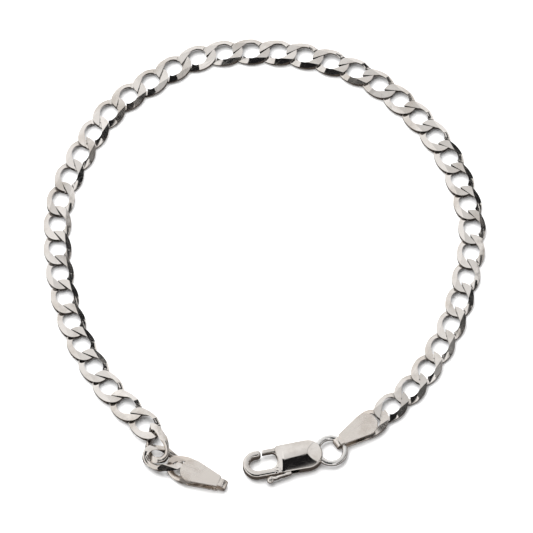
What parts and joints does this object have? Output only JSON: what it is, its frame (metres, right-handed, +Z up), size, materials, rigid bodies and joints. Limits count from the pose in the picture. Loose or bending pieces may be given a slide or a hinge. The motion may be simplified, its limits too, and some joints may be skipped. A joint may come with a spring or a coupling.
{
  "type": "link bracelet",
  "caption": "Flat filed curb chain bracelet lying open in a loop, with folded end tabs, a jump ring and a sprung trigger clasp.",
  "frame": {"origin": "middle of the bracelet's outline, on the surface that it lies on", "axes": "+Z up from that surface, -Y towards the clasp and the free end, +X to the right as seen from above with the clasp near"},
  "size_m": [0.0646, 0.0732, 0.0031],
  "materials": {
    "polished_silver": "polished sterling silver with fine handling scratches",
    "tab_silver": "softly polished sterling silver, slightly warm, with fine scratches",
    "clasp_silver": "high polish on the cast clasp and its trigger",
    "pin_silver": "plain drawn wire"
  },
  "bodies": {
    "bracelet": {"link_01": "polished_silver", "link_02": "polished_silver", "link_03": "polished_silver", "link_04": "polished_silver", "link_05": "polished_silver", "link_06": "polished_silver", "link_07": "polished_silver", "link_08": "polished_silver", "link_09": "polished_silver", "link_10": "polished_silver", "link_11": "polished_silver", "link_12": "polished_silver", "link_13": "polished_silver", "link_14": "polished_silver", "link_15": "polished_silver", "link_16": "polished_silver", "link_17": "polished_silver", "link_18": "polished_silver", "link_19": "polished_silver", "link_20": "polished_silver", "link_21": "polished_silver", "link_22": "polished_silver", "link_23": "polished_silver", "link_24": "polished_silver", "link_25": "polished_silver", "link_26": "polished_silver", "link_27": "polished_silver", "link_28": "polished_silver", "link_29": "polished_silver", "link_30": "polished_silver", "link_31": "polished_silver", "link_32": "polished_silver", "link_33": "polished_silver", "link_34": "polished_silver", "link_35": "polished_silver", "link_36": "polished_silver", "link_37": "polished_silver", "link_38": "polished_silver", "link_39": "polished_silver", "link_40": "polished_silver", "link_41": "polished_silver", "link_42": "polished_silver", "link_43": "polished_silver", "clasp_end_tab": "tab_silver", "catch_tab": "tab_silver", "jump_ring": "polished_silver", "clasp_body": "clasp_silver", "clasp_pin": "pin_silver"},
    "trigger": {"clasp_trigger": "clasp_silver"}
  },
  "joints": [
    {"name": "trigger_hinge", "type": "hinge", "parent": "bracelet", "child": "trigger", "pos_m": [0.00303, -0.03088, 0.00093], "axis": [0, 0, 1], "range_deg": [0, 18], "stiffness_Nm_per_rad": 0.004, "springref_deg": -17.19}
  ]
}
